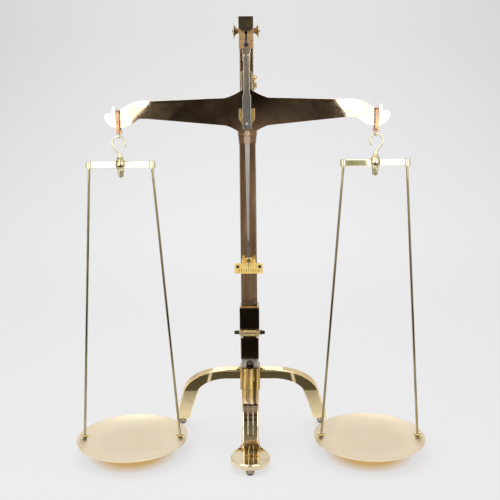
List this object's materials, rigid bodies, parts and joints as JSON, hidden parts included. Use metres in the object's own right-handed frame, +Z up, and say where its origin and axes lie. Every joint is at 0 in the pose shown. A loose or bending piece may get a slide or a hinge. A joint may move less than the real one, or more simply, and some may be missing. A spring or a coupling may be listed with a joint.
{
  "type": "beam balance",
  "caption": "Equal-arm beam balance with a lifting square pillar on an arched tripod, and a round dished pan hung from each end of its beam.",
  "frame": {"origin": "on the table, at the middle of the balance's outline seen from above", "axes": "+X along the beam to the right-hand pan, +Y to the back, +Z up the pillar"},
  "size_m": [0.6692, 0.2541, 0.813],
  "materials": {
    "pillar_brass": "polished, toned brown",
    "sleeve_brass": "polished, dark toned",
    "base_brass": "polished",
    "head_brass": "polished",
    "plate_brass": "polished, bright",
    "beam_brass": "polished, toned brown",
    "hanger_brass": "polished",
    "pan_brass": "fine spun polish",
    "shear_steel": "ground and polished",
    "bright_steel": "bright ground",
    "dark_steel": "blued",
    "screw_steel": "turned"
  },
  "bodies": {
    "stand": {"hub_block": "base_brass", "left_rear_leg": "base_brass", "right_rear_leg": "base_brass", "front_leg": "base_brass", "bun_feet": "base_brass", "base_bolt": "dark_steel", "neck_collar": "base_brass", "lower_post": "sleeve_brass", "key_block": "sleeve_brass", "spindle_bushes": "head_brass", "column_socket": "sleeve_brass", "outer_column": "pillar_brass", "column_collar": "pillar_brass", "scale_plate": "plate_brass", "scale_bracket": "plate_brass", "plate_screws": "plate_brass"},
    "lift_column": {"inner_column": "pillar_brass", "lift_rod": "dark_steel", "head_block": "head_brass", "head_screws": "screw_steel", "yoke": "head_brass", "hanger_pin": "dark_steel", "cross_bolt": "dark_steel", "shear_bridge": "shear_steel", "front_shear": "shear_steel", "rear_shear": "shear_steel", "shear_bearings": "bright_steel", "shear_screws": "screw_steel", "shear_tie": "screw_steel", "guide_bracket": "head_brass"},
    "left_thumb_nut": {"left_thumb_nut": "head_brass"},
    "right_thumb_nut": {"right_thumb_nut": "head_brass"},
    "guide_screw": {"guide_screw": "head_brass"},
    "spindle": {"spindle": "dark_steel"},
    "beam": {"beam": "beam_brass", "knife_block": "beam_brass", "centre_knife": "bright_steel", "end_knives": "bright_steel", "pointer_socket": "beam_brass", "pointer": "bright_steel"},
    "left_shackle": {"left_shackle": "hanger_brass", "left_shackle_bearing": "bright_steel"},
    "left_link": {"left_link": "hanger_brass"},
    "left_hook": {"left_hook": "hanger_brass"},
    "left_hanger": {"left_baluster": "hanger_brass", "left_baluster_nut": "hanger_brass", "left_crossbar": "hanger_brass", "left_rods": "hanger_brass", "left_pan_studs": "hanger_brass", "left_pan": "pan_brass"},
    "right_shackle": {"right_shackle": "hanger_brass", "right_shackle_bearing": "bright_steel"},
    "right_link": {"right_link": "hanger_brass"},
    "right_hook": {"right_hook": "hanger_brass"},
    "right_hanger": {"right_baluster": "hanger_brass", "right_baluster_nut": "hanger_brass", "right_crossbar": "hanger_brass", "right_rods": "hanger_brass", "right_pan_studs": "hanger_brass", "right_pan": "pan_brass"}
  },
  "joints": [
    {"name": "column_lift", "type": "slide", "parent": "stand", "child": "lift_column", "axis": [0, 0, 1], "range_m": [-0.01, 0]},
    {"name": "spindle_turn", "type": "hinge", "parent": "stand", "child": "spindle", "pos_m": [0, 0.004, 0.235], "axis": [1, 0, 0], "range_deg": [-115, 0]},
    {"name": "left_thumb_nut_turn", "type": "hinge", "parent": "lift_column", "child": "left_thumb_nut", "pos_m": [-0.0177, -0.021, 0.7895], "axis": [1, 0, 0], "continuous": true},
    {"name": "right_thumb_nut_turn", "type": "hinge", "parent": "lift_column", "child": "right_thumb_nut", "pos_m": [0.0177, -0.021, 0.7895], "axis": [1, 0, 0], "continuous": true},
    {"name": "guide_screw_turn", "type": "hinge", "parent": "lift_column", "child": "guide_screw", "pos_m": [0.014, -0.0031, 0.7], "axis": [0, 0, 1], "continuous": true},
    {"name": "beam_rock", "type": "hinge", "parent": "lift_column", "child": "beam", "pos_m": [0, -0.021, 0.638], "axis": [0, 1, 0], "range_deg": [-2, 2]},
    {"name": "left_shackle_swing", "type": "hinge", "parent": "beam", "child": "left_shackle", "pos_m": [-0.2286, -0.021, 0.638], "axis": [0, 1, 0], "range_deg": [-2, 2]},
    {"name": "left_link_swing", "type": "hinge", "parent": "left_shackle", "child": "left_link", "pos_m": [-0.2286, -0.021, 0.6166], "axis": [1, 0, 0], "range_deg": [-2, 2]},
    {"name": "left_hook_swing", "type": "hinge", "parent": "left_link", "child": "left_hook", "pos_m": [-0.2286, -0.021, 0.6079], "axis": [0, 1, 0], "range_deg": [-2, 2]},
    {"name": "left_hanger_swivel", "type": "hinge", "parent": "left_hook", "child": "left_hanger", "pos_m": [-0.2286, -0.021, 0.572], "axis": [0, 0, 1], "continuous": true},
    {"name": "right_shackle_swing", "type": "hinge", "parent": "beam", "child": "right_shackle", "pos_m": [0.2286, -0.021, 0.638], "axis": [0, 1, 0], "range_deg": [-2, 2]},
    {"name": "right_link_swing", "type": "hinge", "parent": "right_shackle", "child": "right_link", "pos_m": [0.2286, -0.021, 0.6166], "axis": [1, 0, 0], "range_deg": [-2, 2]},
    {"name": "right_hook_swing", "type": "hinge", "parent": "right_link", "child": "right_hook", "pos_m": [0.2286, -0.021, 0.6079], "axis": [0, 1, 0], "range_deg": [-2, 2]},
    {"name": "right_hanger_swivel", "type": "hinge", "parent": "right_hook", "child": "right_hanger", "pos_m": [0.2286, -0.021, 0.572], "axis": [0, 0, 1], "continuous": true}
  ],
  "couplings": [
    {"joint": "spindle_turn", "follows": "column_lift", "rad_per_m": 200},
    {"joint": "left_shackle_swing", "follows": "beam_rock", "ratio": -1},
    {"joint": "right_shackle_swing", "follows": "beam_rock", "ratio": -1}
  ]
}
